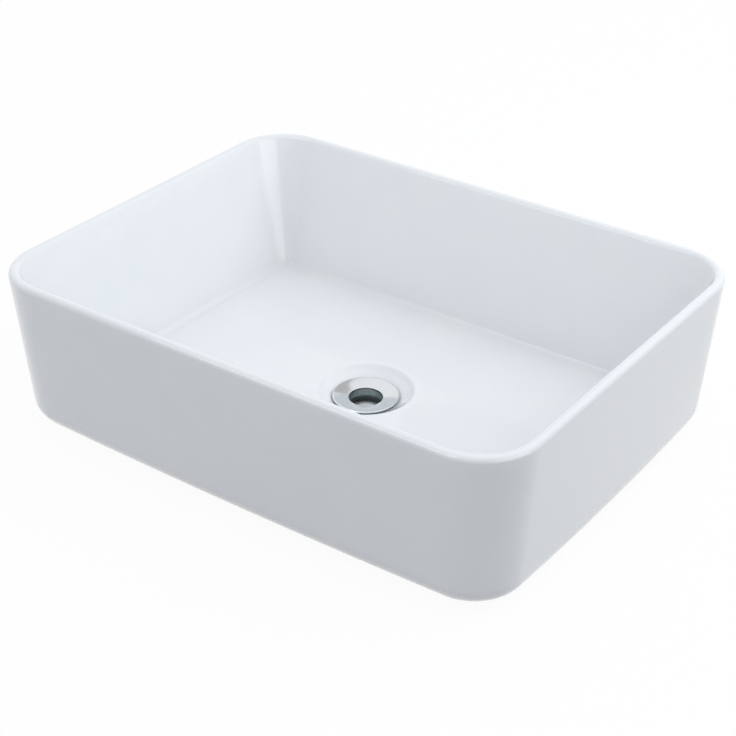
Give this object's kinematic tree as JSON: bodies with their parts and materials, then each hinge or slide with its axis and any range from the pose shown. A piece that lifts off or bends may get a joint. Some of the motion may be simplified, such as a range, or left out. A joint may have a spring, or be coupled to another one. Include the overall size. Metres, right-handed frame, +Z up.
{
  "type": "countertop basin",
  "caption": "Rectangular glazed ceramic countertop basin with rounded corners and an open chromed waste, its clamp for the counter and its tailpiece.",
  "frame": {"origin": "where the axis of the waste meets the plane of the basin's foot, which is the countertop's upper face", "axes": "+X along the basin's length, to the right as seen from the front; +Y to the back; +Z up out of the bowl, along the waste's axis"},
  "size_m": [0.48, 0.37, 0.265],
  "materials": {
    "porcelain": "gloss white glaze, bare fired clay on the foot's flat ring",
    "chrome": "polished chrome plate on brass",
    "gasket_rubber": "soft grey rubber",
    "polished_steel": "polished stainless steel",
    "washer_rubber": "black rubber",
    "slip_nylon": "off-white nylon",
    "nut_brass": "turned brass, unplated"
  },
  "bodies": {
    "root": {"basin": "porcelain", "waste_body": "chrome", "flange_gasket": "gasket_rubber", "strainer": "polished_steel", "rubber_washer": "washer_rubber", "slip_ring": "slip_nylon", "lock_nut": "nut_brass", "tailpiece": "chrome", "tailpiece_seal": "washer_rubber"}
  },
  "joints": []
}
